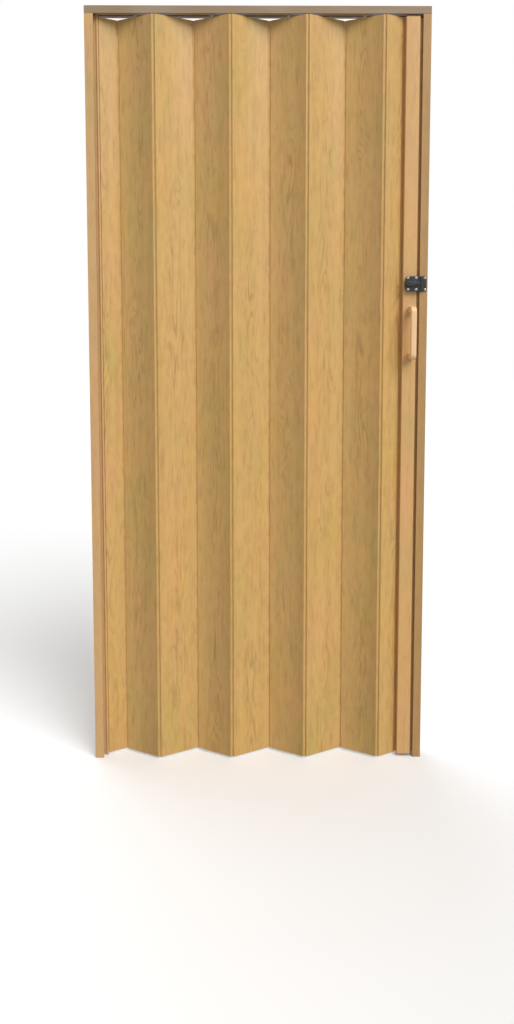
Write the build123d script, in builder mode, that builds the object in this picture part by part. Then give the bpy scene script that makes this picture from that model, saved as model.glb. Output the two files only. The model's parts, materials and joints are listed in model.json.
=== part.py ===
"""A folding door of hollow PVC panels, hung from a head track and latched at the right.

Millimetres, +Z up. The origin is on the floor, in the middle of the opening, under the
centre line of the track. +X runs towards the strike side, -Y faces the person who sees
the lock. The door is drawn closed and unlocked, with its panels in their resting zigzag.
"""
from build123d import *
import os
from math import asin, atan2, cos, degrees, radians, sin, sqrt

os.makedirs("parts", exist_ok=True)

# Opening and heights
opening_width = 900.0
overall_height = 2020.0
floor_clearance = 6.0
track_gap = 4.0

# Head track, a channel with its slot underneath
track_height = 20.0
track_depth = 38.0
track_wall = 2.0
track_slot = 8.0
track_edge_radius = 1.2

# Folding leaf: 7 full panels between two half panels
panel_count = 7
fold_depth = 46.8
hinge_spacing = 9.0
fold_travel = 52.0
panel_thickness = 6.0
panel_wall = 0.9
panel_rib = 0.8
panel_chambers = 7
half_panel_chambers = 3

# Hinge groove along a panel's edge, and the soft strip whose beads turn in it
knuckle_swell = 0.4
groove_wall = 1.34
groove_back = 0.9
bead_clearance = 0.06
web_thickness = 1.2
web_clearance = 0.3
neck_thickness = 2.4

# Wall profile on the left and strike profile on the right
profile_depth = 38.0
profile_wall = 1.8
profile_base = 2.0
profile_lip = 3.0
wall_profile_width = 23.0
strike_profile_width = 21.0
wall_hinge_inset = 30.0

# Lead post, which carries the handles and the lock
post_width = 37.0
post_depth = 32.0
post_wall = 1.8
post_corner_radius = 2.5
post_gap = 7.0
post_hinge_reach = 5.0
post_rib_from_left = 14.0
tongue_reach = 16.0
tongue_thickness = 12.0
cap_thickness = 2.0
cap_plug_depth = 12.0
plug_clearance = 0.15

# Gliders
glider_head_radius = 8.0
glider_head_thickness = 3.0
glider_dome = 1.2
glider_stem_radius = 2.4
glider_collar_thickness = 1.0
glider_plug_depth = 28.0
glider_run_clearance = 0.3
post_glider_from_edge = 9.0
pin_clearance = 0.05

# Handles
handle_length = 141.0
handle_width = 15.4
handle_projection = 42.0
handle_bar = 11.0
handle_foot = 17.0
handle_outer_radius = 15.0
handle_inner_radius = 9.0
handle_edge_radius = 3.5
handle_centre_height = 1175.5
handle_from_post_left = 23.0
handle_screw_radius = 2.0
handle_screw_head_radius = 3.6
handle_screw_head_height = 2.6
handle_screw_depth = 14.0
handle_screw_spare = 1.0
handle_counterbore_radius = 4.2
handle_ledge = 8.0

# Lock
lock_height = 40.0
lock_depth = 14.0
lock_centre_height = 1305.5
lock_from_post_left = 4.0
lock_left_bow = 6.0
lock_corner_radius = 2.0
lock_edge_radius = 1.4
lock_front_wall = 1.8
lock_left_wall = 5.0
lock_right_wall = 2.4
lock_cavity_height = 22.0
lock_keeper_gap = 0.8
lock_moving_gap = 0.3
turn_centre_from_left = 20.0
turn_hub_radius = 11.4
turn_hub_height = 2.8
turn_lever_height = 8.0
turn_lever_left_reach = 19.5
turn_lever_left_radius = 6.8
turn_lever_right_reach = 18.4
turn_lever_right_radius = 3.0
turn_lever_edge = 1.0
turn_ring_gap = 0.4
turn_ring_width = 1.7
turn_ring_height = 1.2
turn_shaft_radius = 3.5
turn_square = 4.0
lock_turn = 90.0

# Bolt and the crank that slides it
bolt_throw = 9.0
bolt_height = 10.0
bolt_thickness = 6.0
bolt_plate_width = 16.0
bolt_plate_behind_pin = 7.5
bolt_recess = 1.2
bolt_plate_top = 10.2
bolt_tip_radius = 1.2
crank_thickness = 1.6
crank_pin_radius = 1.5
crank_pin_length = 4.0
crank_rim = 1.6
crank_slot_clearance = 0.35
back_plate_thickness = 1.5
back_plate_rib = 1.2
back_plate_rib_offset = 3.6

# Keeper on the strike profile
keeper_width = 18.6
keeper_overhang = 0.6
keeper_plate = 3.0
keeper_corner_radius = 3.0
keeper_bulge_radius = 24.6
keeper_bulge_inset = 10.0
keeper_bulge_edge = 1.6
keeper_pocket_clearance = 1.0
keeper_pocket_spare = 2.5

# Small screws of the lock and the keeper
screw_radius = 1.4
screw_clearance = 0.15
screw_head_radius = 3.2
screw_head_height = 1.5
screw_head_edge = 0.9
screw_grip = 3.2
screw_offset_z = 15.1
screw_inset_x = 7.0
screw_edge_margin = 2.6
keeper_screw_inset = 14.4

# Fixing holes towards the building
fixing_radius = 2.25
fixing_outer_share = 0.4
fixing_inner_share = 0.4 / 3
wall_fixing_offset = 9.0

# Places along the opening
wall_x = -opening_width / 2
strike_x = opening_width / 2
strike_mouth_x = strike_x - strike_profile_width
post_right_x = strike_mouth_x - post_gap
post_left_x = post_right_x - post_width
wall_pivot_x = wall_x + wall_hinge_inset
post_pivot_x = post_left_x - post_hinge_reach

# Heights
track_bottom = overall_height - track_height
panel_bottom = floor_clearance
panel_top = track_bottom - track_gap
panel_height = panel_top - panel_bottom

# Zigzag at rest: each hinge line lies half the fold depth behind or in front of the track
fold_count = panel_count + 1
fold_pitch = (post_pivot_x - wall_pivot_x) / fold_count
panel_run = fold_pitch - hinge_spacing
panel_length = sqrt(panel_run**2 + fold_depth**2)
rest_angle = degrees(atan2(fold_depth, panel_run))

# Groove and bead
knuckle_radius = panel_thickness / 2 + knuckle_swell
groove_radius = knuckle_radius - groove_wall
bead_radius = groove_radius - bead_clearance
mouth_side = degrees(asin((web_thickness / 2 + web_clearance) / groove_radius))
mouth_from = rest_angle - mouth_side
mouth_to = rest_angle + fold_travel + mouth_side
mouth_reach = 1.5 * knuckle_radius


def around(radius, angle):
    """A point at this radius and angle in degrees from the current place."""
    return (radius * cos(radians(angle)), radius * sin(radians(angle)))


def cut_mouth(first, last):
    """Opens a groove between two angles, so that the web of the strip can swing."""
    Polygon(
        (0, 0),
        around(mouth_reach, first),
        around(mouth_reach, (first + last) / 2),
        around(mouth_reach, last),
        align=None,
        mode=Mode.SUBTRACT,
    )


def cut_groove(x, y, first, last):
    """Cuts the round groove of a hinge edge and its mouth into a sketch."""
    with Locations((x, y)):
        Circle(groove_radius, mode=Mode.SUBTRACT)
        cut_mouth(first, last)


def fold_x(index):
    """Where the hinge line of this number stands along the track."""
    return wall_pivot_x + fold_pitch * (index - 0.5)


def fold_side(index):
    """+1 for a hinge line at the back, -1 for one at the front."""
    return 1 if index % 2 else -1


# Head track: a C section, open below, with fixing holes through its roof
with BuildPart() as head_track:
    with BuildSketch(Plane.YZ.offset(wall_x)):
        with Locations((0, track_bottom + track_height / 2)):
            RectangleRounded(track_depth, track_height, track_edge_radius)
            Rectangle(track_depth - 2 * track_wall, track_height - 2 * track_wall, mode=Mode.SUBTRACT)
        with Locations((0, track_bottom + track_wall / 2)):
            Rectangle(track_slot, 2 * track_wall, mode=Mode.SUBTRACT)
    extrude(amount=opening_width)
    for share in (fixing_outer_share, fixing_inner_share):
        with BuildSketch(Plane.XY.offset(overall_height)):
            with GridLocations(2 * share * opening_width, 0, 2, 1):
                Circle(fixing_radius)
        extrude(amount=-2 * track_wall, mode=Mode.SUBTRACT)
head_track.part.label = "head_track"
export_step(head_track.part, "parts/head_track.step")


def profile_walls(outer_x, width, inward):
    """Base, side walls and returned lips of an upright channel; inward is its mouth's side."""
    with Locations((outer_x + inward * profile_base / 2, 0)):
        Rectangle(profile_base, profile_depth)
    side_y = profile_depth / 2 - profile_wall / 2
    lip_y = profile_depth / 2 - (profile_wall + profile_lip) / 2
    with Locations((outer_x + inward * width / 2, side_y), (outer_x + inward * width / 2, -side_y)):
        Rectangle(width, profile_wall)
    lip_x = outer_x + inward * (width - profile_wall / 2)
    with Locations((lip_x, lip_y), (lip_x, -lip_y)):
        Rectangle(profile_wall, profile_wall + profile_lip)


def drill_profile(plane, across):
    """Two pairs of fixing holes along an upright profile's base."""
    for share in (fixing_outer_share, fixing_inner_share):
        with Locations(plane):
            with Locations((across, track_bottom / 2)):
                with GridLocations(0, 2 * share * track_bottom, 1, 2):
                    Hole(fixing_radius, 2 * profile_base)


# Wall profile: an E section whose middle leg ends in the first hinge groove
wall_face = Plane(origin=(wall_x, 0, 0), x_dir=(0, -1, 0), z_dir=(-1, 0, 0))
with BuildPart() as wall_profile:
    with BuildSketch(Plane.XY):
        profile_walls(wall_x, wall_profile_width, 1)
        with Locations(((wall_x + wall_pivot_x) / 2, 0)):
            Rectangle(wall_pivot_x - wall_x, neck_thickness)
        with Locations((wall_pivot_x, 0)):
            Circle(knuckle_radius)
        cut_groove(wall_pivot_x, 0, mouth_from, mouth_to)
    extrude(amount=track_bottom)
    drill_profile(wall_face, -wall_fixing_offset)
wall_profile.part.label = "wall_profile"
export_step(wall_profile.part, "parts/wall_profile.step")

# Strike profile: a C section that the closing tongue of the lead post enters
strike_face = Plane(origin=(strike_x, 0, 0), x_dir=(0, 1, 0), z_dir=(1, 0, 0))
pilot_radius = screw_radius + screw_clearance
keeper_left_x = strike_mouth_x - keeper_overhang
keeper_screw_x = keeper_left_x + keeper_screw_inset
with BuildPart() as strike_profile:
    with BuildSketch(Plane.XY):
        profile_walls(strike_x, strike_profile_width, -1)
    extrude(amount=track_bottom)
    drill_profile(strike_face, 0)
    with BuildSketch(Plane.XZ.offset(profile_depth / 2)):
        with Locations((keeper_screw_x, lock_centre_height)):
            with GridLocations(0, 2 * screw_offset_z, 1, 2):
                Circle(pilot_radius)
    extrude(amount=-2 * profile_wall, mode=Mode.SUBTRACT)
strike_profile.part.label = "strike_profile"
export_step(strike_profile.part, "parts/strike_profile.step")

# Soft hinge strips: two beads joined by a thin web that stays in line with the track
for index in range(1, fold_count + 1):
    strip_plane = Plane(origin=(fold_x(index), fold_side(index) * fold_depth / 2, panel_bottom))
    with BuildPart() as hinge_strip:
        with BuildSketch(strip_plane):
            Rectangle(hinge_spacing, web_thickness)
            with GridLocations(hinge_spacing, 0, 2, 1):
                Circle(bead_radius)
        extrude(amount=panel_height)
    hinge_strip.part.label = f"hinge_strip_{index}"
    export_step(hinge_strip.part, f"parts/hinge_strip_{index}.step")

# Full panels: a hollow board with a hinge groove on each edge. Every second one is
# the same extrusion turned upside down, so that its grooves open to the other face.
chamber_zone = panel_length - 2 * (knuckle_radius + groove_back)
chamber_width = (chamber_zone - (panel_chambers - 1) * panel_rib) / panel_chambers
chamber_height = panel_thickness - 2 * panel_wall
for index in range(1, panel_count + 1):
    face = -fold_side(index)
    panel_plane = Plane(
        origin=(fold_x(index) + fold_pitch / 2, 0, panel_bottom),
        x_dir=around(1, face * rest_angle) + (0,),
        z_dir=(0, 0, 1),
    )
    with BuildPart() as panel:
        with BuildSketch(panel_plane):
            Rectangle(panel_length - 2 * groove_radius, panel_thickness)
            with GridLocations(panel_length, 0, 2, 1):
                Circle(knuckle_radius)
            with GridLocations(chamber_width + panel_rib, 0, panel_chambers, 1):
                Rectangle(chamber_width, chamber_height, mode=Mode.SUBTRACT)
            cut_groove(panel_length / 2, 0, -face * mouth_from, -face * mouth_to)
            cut_groove(-panel_length / 2, 0, 180 - face * mouth_from, 180 - face * mouth_to)
        extrude(amount=panel_height)
    panel.part.label = f"panel_{index}"
    export_step(panel.part, f"parts/panel_{index}.step")

# Half panels: one edge is a bead on a neck, which turns in the groove of the wall
# profile or of the lead post, and the other edge is the same groove as on a full panel.
half_length = panel_length / 2
board_start = knuckle_radius + 2 * web_clearance
half_zone_start = board_start + panel_rib
half_zone = half_length - half_zone_start - knuckle_radius - groove_back
half_chamber_width = (half_zone - (half_panel_chambers - 1) * panel_rib) / half_panel_chambers
for name, pivot_x, turn in (("starter_panel", wall_pivot_x, 0), ("lead_panel", post_pivot_x, 180)):
    half_plane = Plane(
        origin=(pivot_x, 0, panel_bottom),
        x_dir=around(1, rest_angle + turn) + (0,),
        z_dir=(0, 0, 1),
    )
    with BuildPart() as half_panel:
        with BuildSketch(half_plane):
            Circle(bead_radius)
            with Locations((board_start / 2, 0)):
                Rectangle(board_start + panel_rib, web_thickness)
            board_length = half_length - board_start - groove_radius
            with Locations((board_start + board_length / 2, 0)):
                Rectangle(board_length, panel_thickness)
            with Locations((half_length, 0)):
                Circle(knuckle_radius)
            with Locations((half_zone_start + half_zone / 2, 0)):
                with GridLocations(half_chamber_width + panel_rib, 0, half_panel_chambers, 1):
                    Rectangle(half_chamber_width, chamber_height, mode=Mode.SUBTRACT)
            cut_groove(half_length, 0, -mouth_from, -mouth_to)
        extrude(amount=panel_height)
    half_panel.part.label = name
    export_step(half_panel.part, f"parts/{name}.step")

# Gliders: a mushroom head runs on the track's lips, and its flat plug sits in the middle
# chamber of every second panel, whose centre never leaves the track line
head_bottom = track_bottom + track_wall + glider_run_clearance
for number, index in enumerate(range(1, panel_count + 1, 2), 1):
    glider_x = fold_x(index) + fold_pitch / 2
    glider_plane = Plane(
        origin=(glider_x, 0, 0),
        x_dir=around(1, -fold_side(index) * rest_angle) + (0,),
        z_dir=(0, 0, 1),
    )
    with BuildPart() as glider:
        with BuildSketch(glider_plane.offset(panel_top - glider_plug_depth)):
            Rectangle(chamber_width - 2 * plug_clearance, chamber_height - 2 * plug_clearance)
        extrude(amount=glider_plug_depth)
        with BuildSketch(glider_plane.offset(panel_top)):
            Circle(panel_thickness / 2)
        extrude(amount=glider_collar_thickness)
        with BuildSketch(glider_plane.offset(panel_top)):
            Circle(glider_stem_radius)
        extrude(amount=head_bottom - panel_top)
        with BuildSketch(glider_plane.offset(head_bottom)):
            Circle(glider_head_radius)
        extrude(amount=glider_head_thickness)
        fillet(glider.edges().group_by(Axis.Z)[-1], glider_dome)
    glider.part.label = f"glider_{number}"
    export_step(glider.part, f"parts/glider_{number}.step")

# Lead post: a two-chamber box with the last hinge groove on its left, and on its right
# the hollow tongue that closes into the strike profile
post_x = (post_left_x + post_right_x) / 2
post_front = -post_depth / 2
handle_x = post_left_x + handle_from_post_left
lock_left_x = post_left_x + lock_from_post_left
lock_right_x = keeper_left_x - lock_keeper_gap
case_screw_x = (lock_left_x + screw_inset_x, post_right_x - post_wall - screw_edge_margin)
handle_foot_offset = handle_length / 2 - handle_foot / 2
handle_hole_radius = handle_screw_radius + screw_clearance
left_chamber = (post_left_x + post_wall, post_left_x + post_rib_from_left - post_wall / 2)
right_chamber = (post_left_x + post_rib_from_left + post_wall / 2, post_right_x - post_wall)
chamber_depth = post_depth - 2 * post_wall
post_mouth_from = 180 + rest_angle - mouth_side
post_mouth_to = 180 + rest_angle + fold_travel + mouth_side
with BuildPart() as lead_post:
    with BuildSketch(Plane.XY.offset(panel_bottom + cap_thickness)):
        with Locations((post_x, 0)):
            RectangleRounded(post_width, post_depth, post_corner_radius)
        with Locations((post_right_x + (tongue_reach - post_wall) / 2, 0)):
            Rectangle(tongue_reach + post_wall, tongue_thickness)
            Rectangle(tongue_reach - post_wall, tongue_thickness - 2 * post_wall, mode=Mode.SUBTRACT)
        with Locations(((post_pivot_x + post_left_x + post_wall) / 2, 0)):
            Rectangle(post_left_x + post_wall - post_pivot_x, neck_thickness)
        with Locations((post_pivot_x, 0)):
            Circle(knuckle_radius)
        cut_groove(post_pivot_x, 0, post_mouth_from, post_mouth_to)
        for start, end in (left_chamber, right_chamber):
            with Locations(((start + end) / 2, 0)):
                Rectangle(end - start, chamber_depth, mode=Mode.SUBTRACT)
    extrude(amount=panel_height - 2 * cap_thickness)
    with BuildSketch(Plane.XZ.offset(post_depth / 2)):
        with Locations(*[(x, lock_centre_height) for x in case_screw_x]):
            with GridLocations(0, 2 * screw_offset_z, 1, 2):
                Circle(pilot_radius)
    extrude(amount=-2 * post_wall, mode=Mode.SUBTRACT)
    with BuildSketch(Plane.XZ.offset(post_depth / 2)):
        with Locations((handle_x, handle_centre_height)):
            with GridLocations(0, 2 * handle_foot_offset, 1, 2):
                Circle(handle_hole_radius)
    extrude(amount=-post_depth, mode=Mode.SUBTRACT)
lead_post.part.label = "lead_post"
export_step(lead_post.part, "parts/lead_post.step")

# Caps that close the post's ends. The upper one carries a pair of gliders.
post_glider_x = (post_left_x + post_glider_from_edge, post_right_x - post_glider_from_edge)
for name, seat, inward in (("post_cap_bottom", panel_bottom, 1), ("post_cap_top", panel_top, -1)):
    with BuildPart() as post_cap:
        with BuildSketch(Plane.XY.offset(seat)):
            with Locations((post_x, 0)):
                RectangleRounded(post_width, post_depth, post_corner_radius)
        extrude(amount=inward * cap_thickness)
        with BuildSketch(Plane.XY.offset(seat)):
            for start, end in (left_chamber, right_chamber):
                with Locations(((start + end) / 2, 0)):
                    Rectangle(end - start - 2 * plug_clearance, chamber_depth - 2 * plug_clearance)
        extrude(amount=inward * (cap_thickness + cap_plug_depth))
        if name == "post_cap_top":
            with BuildSketch(Plane.XY.offset(seat)):
                with Locations(*[(x, 0) for x in post_glider_x]):
                    Circle(glider_stem_radius + pin_clearance)
            extrude(amount=-(cap_thickness + cap_plug_depth), mode=Mode.SUBTRACT)
    post_cap.part.label = name
    export_step(post_cap.part, f"parts/{name}.step")

with BuildPart() as post_gliders:
    with BuildSketch(Plane.XY.offset(panel_top - cap_thickness - cap_plug_depth)):
        with Locations(*[(x, 0) for x in post_glider_x]):
            Circle(glider_stem_radius)
    extrude(amount=head_bottom - panel_top + cap_thickness + cap_plug_depth)
    with BuildSketch(Plane.XY.offset(panel_top)):
        with Locations(*[(x, 0) for x in post_glider_x]):
            Circle(panel_thickness / 2 + glider_collar_thickness)
    extrude(amount=glider_collar_thickness)
    with BuildSketch(Plane.XY.offset(head_bottom)):
        with Locations(*[(x, 0) for x in post_glider_x]):
            Circle(glider_head_radius)
    extrude(amount=glider_head_thickness)
    fillet(post_gliders.edges().group_by(Axis.Z)[-1], glider_dome)
post_gliders.part.label = "post_gliders"
export_step(post_gliders.part, "parts/post_gliders.step")

# Handles: the same moulded grip on both faces, drawn together by two long screws
handle_screw_z = (handle_centre_height - handle_foot_offset, handle_centre_height + handle_foot_offset)
gap_depth = handle_projection - handle_bar
handle_plane = Plane(origin=(handle_x, 0, handle_centre_height), x_dir=(0, 0, 1), z_dir=(1, 0, 0))
for name, side in (("handle_front", 1), ("handle_rear", -1)):
    seat_y = post_depth / 2
    with BuildPart() as handle:
        with BuildSketch(handle_plane) as grip:
            with Locations((0, side * (seat_y + handle_projection / 2))):
                Rectangle(handle_length, handle_projection)
            fillet(grip.vertices().sort_by(Axis.Y, reverse=side < 0)[-2:], handle_outer_radius)
            with Locations((0, side * (seat_y + gap_depth / 2))):
                Rectangle(handle_length - 2 * handle_foot, gap_depth, mode=Mode.SUBTRACT)
            gap_end = side * (seat_y + gap_depth)
            fillet(grip.vertices().filter_by_position(Axis.Y, gap_end - 0.01, gap_end + 0.01), handle_inner_radius)
        extrude(amount=handle_width / 2, both=True)
        rims = handle.faces().filter_by(Axis.X).edges()
        fillet(rims.filter_by(lambda edge: abs(edge.center().Y) > seat_y + 0.01), handle_edge_radius)
        with Locations(*[Plane(origin=(handle_x, -side * seat_y, z), z_dir=(0, side, 0)) for z in handle_screw_z]):
            if name == "handle_front":
                Hole(handle_screw_radius + pin_clearance, handle_screw_depth + handle_screw_spare)
            else:
                Hole(handle_hole_radius, handle_projection)
        if name == "handle_rear":
            with Locations(*[Plane(origin=(handle_x, seat_y + handle_projection, z), z_dir=(0, 1, 0)) for z in handle_screw_z]):
                Hole(handle_counterbore_radius, handle_projection - handle_ledge)
    handle.part.label = name
    export_step(handle.part, f"parts/{name}.step")

with BuildPart() as handle_screws:
    with BuildSketch(Plane.XZ.offset(-post_depth / 2 - handle_ledge)):
        with Locations(*[(handle_x, z) for z in handle_screw_z]):
            Circle(handle_screw_radius)
    extrude(amount=handle_ledge + post_depth + handle_screw_depth)
    with BuildSketch(Plane.XZ.offset(-post_depth / 2 - handle_ledge)):
        with Locations(*[(handle_x, z) for z in handle_screw_z]):
            Circle(handle_screw_head_radius)
    extrude(amount=-handle_screw_head_height)
    fillet(handle_screws.edges().group_by(Axis.Y)[-1], handle_screw_head_height / 2)
handle_screws.part.label = "handle_screws"
export_step(handle_screws.part, "parts/handle_screws.step")

# Lock case: a moulding bowed towards the fold, with a round seat for the thumb turn and
# a cavity, open to the post, for the crank and the bolt
post_face = Plane.XZ.offset(post_depth / 2)
lock_face = Plane.XZ.offset(post_depth / 2 + lock_depth)
case_top = lock_centre_height + lock_height / 2
case_bottom = lock_centre_height - lock_height / 2
turn_x = lock_left_x + turn_centre_from_left
cavity_left = lock_left_x + lock_left_wall
cavity_right = lock_right_x - lock_right_wall
cavity_depth = lock_depth - lock_front_wall
crank_front = cavity_depth - lock_moving_gap
bolt_front = crank_front - crank_thickness - lock_moving_gap
bolt_back = bolt_front - bolt_thickness
bolt_mid_y = -(post_depth + bolt_front + bolt_back) / 2
ring_inner = turn_hub_radius + turn_ring_gap
case_screws = [(x, lock_centre_height + side * screw_offset_z) for x in case_screw_x for side in (-1, 1)]
with BuildPart() as lock_case:
    with BuildSketch(post_face) as outline:
        with BuildLine():
            bow_end_x = lock_left_x + lock_left_bow
            right_side = Line((lock_right_x, case_bottom), (lock_right_x, case_top))
            top_side = Line(right_side @ 1, (bow_end_x, case_top))
            bow = ThreePointArc(top_side @ 1, (lock_left_x, lock_centre_height), (bow_end_x, case_bottom))
            Line(bow @ 1, right_side @ 0)
        make_face()
        fillet(outline.vertices().group_by(Axis.X)[0], lock_corner_radius)
    extrude(amount=lock_depth)
    fillet(lock_case.faces().sort_by(Axis.Y)[0].edges(), lock_edge_radius)
    with BuildSketch(lock_face):
        with Locations((turn_x, lock_centre_height)):
            Circle(ring_inner + turn_ring_width)
            Circle(ring_inner, mode=Mode.SUBTRACT)
    extrude(amount=turn_ring_height)
    with BuildSketch(post_face):
        with Locations(((cavity_left + cavity_right) / 2, lock_centre_height)):
            Rectangle(cavity_right - cavity_left, lock_cavity_height)
    extrude(amount=cavity_depth, mode=Mode.SUBTRACT)
    with BuildSketch(Plane.YZ.offset(cavity_right - lock_right_wall)):
        with Locations((bolt_mid_y, lock_centre_height)):
            Rectangle(bolt_thickness + 2 * lock_moving_gap, bolt_height + 2 * lock_moving_gap)
    extrude(amount=3 * lock_right_wall, mode=Mode.SUBTRACT)
    with Locations(lock_face):
        with Locations((turn_x, lock_centre_height)):
            Hole(turn_shaft_radius + pin_clearance, lock_depth)
        with Locations(*case_screws):
            Hole(pilot_radius, lock_depth)
lock_case.part.label = "lock_case"
export_step(lock_case.part, "parts/lock_case.step")

# Thumb turn: hub, teardrop lever, round shaft and the square that drives the crank
turn_back = lock_depth + lock_moving_gap
turn_face = Plane(origin=(turn_x, -post_depth / 2, lock_centre_height), x_dir=(1, 0, 0), z_dir=(0, -1, 0))
with BuildPart() as thumb_turn:
    with BuildSketch(turn_face.offset(turn_back)):
        Circle(turn_hub_radius)
    extrude(amount=turn_hub_height)
    fillet(thumb_turn.edges().group_by(Axis.Y)[0], turn_lever_edge)
    with BuildSketch(turn_face.offset(turn_back + turn_hub_height)):
        with BuildLine():
            slim_centre = (turn_lever_right_reach - turn_lever_right_radius, 0)
            full_centre = (turn_lever_left_radius - turn_lever_left_reach, 0)
            slim_end = CenterArc(slim_centre, turn_lever_right_radius, -90, 180)
            full_end = CenterArc(full_centre, turn_lever_left_radius, 90, 180)
            Line(slim_end @ 1, full_end @ 0)
            Line(full_end @ 1, slim_end @ 0)
        make_face()
    extrude(amount=turn_lever_height)
    fillet(thumb_turn.edges().group_by(Axis.Y)[0], turn_lever_edge)
    with BuildSketch(turn_face.offset(crank_front)):
        Circle(turn_shaft_radius)
    extrude(amount=turn_back - crank_front)
    with BuildSketch(turn_face.offset(crank_front - crank_thickness)):
        Rectangle(turn_square, turn_square)
    extrude(amount=crank_thickness)
thumb_turn.part.label = "thumb_turn"
export_step(thumb_turn.part, "parts/thumb_turn.step")

# Crank: its pin swings from 45 degrees before the top to 45 degrees after it
crank_throw = bolt_throw / (2 * sin(radians(lock_turn / 2)))
pin_rest = around(crank_throw, 90 + lock_turn / 2)
with BuildPart() as crank:
    with BuildSketch(turn_face.offset(crank_front - crank_thickness)):
        Circle(crank_throw + crank_pin_radius + crank_rim)
        Rectangle(turn_square + 2 * pin_clearance, turn_square + 2 * pin_clearance, mode=Mode.SUBTRACT)
    extrude(amount=crank_thickness)
    with BuildSketch(turn_face.offset(crank_front - crank_thickness)):
        with Locations(pin_rest):
            Circle(crank_pin_radius)
    extrude(amount=-crank_pin_length)
crank.part.label = "crank"
export_step(crank.part, "parts/crank.step")

# Bolt: a plate with an upright slot for the crank's pin, and the nose that is thrown
slot_radius = crank_pin_radius + crank_slot_clearance
slot_rise = crank_throw - pin_rest[1]
bolt_tip = lock_right_x - bolt_recess - turn_x
bolt_plate_left = pin_rest[0] - bolt_plate_behind_pin
with BuildPart() as lock_bolt:
    with BuildSketch(turn_face.offset(bolt_back)):
        with Locations(((bolt_plate_left + bolt_tip) / 2, 0)):
            Rectangle(bolt_tip - bolt_plate_left, bolt_height)
        plate_height = bolt_height / 2 + bolt_plate_top
        with Locations((bolt_plate_left + bolt_plate_width / 2, bolt_plate_top - plate_height / 2)):
            Rectangle(bolt_plate_width, plate_height)
        with Locations((pin_rest[0], pin_rest[1] + slot_rise / 2)):
            SlotCenterToCenter(slot_rise, 2 * slot_radius, rotation=90, mode=Mode.SUBTRACT)
    extrude(amount=bolt_thickness)
    fillet(lock_bolt.edges().filter_by(Axis.Z).group_by(Axis.X)[-1], bolt_tip_radius)
lock_bolt.part.label = "lock_bolt"
export_step(lock_bolt.part, "parts/lock_bolt.step")

# Back plate of the lock, whose two ribs keep the bolt against the crank
plate_width = cavity_right - cavity_left - 2 * plug_clearance
with BuildPart() as lock_back_plate:
    with BuildSketch(post_face):
        with Locations(((cavity_left + cavity_right) / 2, lock_centre_height)):
            Rectangle(plate_width, lock_cavity_height - 2 * plug_clearance)
    extrude(amount=back_plate_thickness)
    with BuildSketch(post_face):
        with Locations(((cavity_left + cavity_right) / 2, lock_centre_height)):
            with GridLocations(0, 2 * back_plate_rib_offset, 1, 2):
                Rectangle(plate_width, back_plate_rib)
    extrude(amount=bolt_back - lock_moving_gap)
lock_back_plate.part.label = "lock_back_plate"
export_step(lock_back_plate.part, "parts/lock_back_plate.step")

# Keeper: a plate with a raised round-edged block over the pocket that the bolt enters
strike_front = Plane.XZ.offset(profile_depth / 2)
keeper_x = keeper_left_x + keeper_width / 2
bulge_depth = post_depth / 2 + lock_depth - profile_depth / 2
pocket_end = turn_x + bolt_tip + bolt_throw + keeper_pocket_spare
pocket_depth = post_depth / 2 + bolt_front + keeper_pocket_clearance - profile_depth / 2
keeper_screws_at = [(keeper_screw_x, lock_centre_height + side * screw_offset_z) for side in (-1, 1)]
with BuildPart() as keeper:
    with BuildSketch(strike_front):
        with Locations((keeper_left_x - keeper_bulge_inset, lock_centre_height)):
            Circle(keeper_bulge_radius)
        with Locations((keeper_x, lock_centre_height)):
            Rectangle(keeper_width, lock_height, mode=Mode.INTERSECT)
    extrude(amount=bulge_depth)
    fillet(keeper.faces().sort_by(Axis.Y)[0].edges(), keeper_bulge_edge)
    with BuildSketch(strike_front):
        with Locations((keeper_x, lock_centre_height)):
            RectangleRounded(keeper_width, lock_height, keeper_corner_radius)
    extrude(amount=keeper_plate)
    with BuildSketch(strike_front):
        with Locations((pocket_end - keeper_width / 2, lock_centre_height)):
            Rectangle(keeper_width, bolt_height + 2 * keeper_pocket_clearance)
    extrude(amount=pocket_depth, mode=Mode.SUBTRACT)
    with Locations(strike_front.offset(keeper_plate)):
        with Locations(*keeper_screws_at):
            Hole(pilot_radius, 2 * keeper_plate)
keeper.part.label = "keeper"
export_step(keeper.part, "parts/keeper.step")

# Pan-head screws of the lock case and of the keeper
for name, places, seat, length in (
    ("lock_screws", case_screws, post_depth / 2 + lock_depth, lock_depth + screw_grip),
    ("keeper_screws", keeper_screws_at, profile_depth / 2 + keeper_plate, keeper_plate + screw_grip),
):
    with BuildPart() as screws:
        with BuildSketch(Plane.XZ.offset(seat)):
            with Locations(*places):
                Circle(screw_head_radius)
        extrude(amount=screw_head_height)
        fillet(screws.edges().group_by(Axis.Y)[0], screw_head_edge)
        with BuildSketch(Plane.XZ.offset(seat)):
            with Locations(*places):
                Circle(screw_radius)
        extrude(amount=-length)
    screws.part.label = name
    export_step(screws.part, f"parts/{name}.step")

print(f"fold pitch {fold_pitch:.2f}, panel {panel_length:.2f} between pivots, rest angle {rest_angle:.2f} deg")
print(f"bead radius {bead_radius:.2f} in groove {groove_radius:.2f}, mouth {mouth_from:.1f} to {mouth_to:.1f} deg")
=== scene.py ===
# %% [markdown]
# # A folding door of hollow plastic boards
# The door is drawn closed and unlocked. Its solids and its joints are already made, so
# this lesson loads them as a fixed frame, dresses every surface, and models again the
# extrusions and screws whose roundings deserve finer steps.

# %% Load the frame
import json
from math import asin, atan2, cos, degrees, pi, radians, sin, sqrt
import bmesh
import bpy
from mathutils import Matrix, Vector


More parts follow.
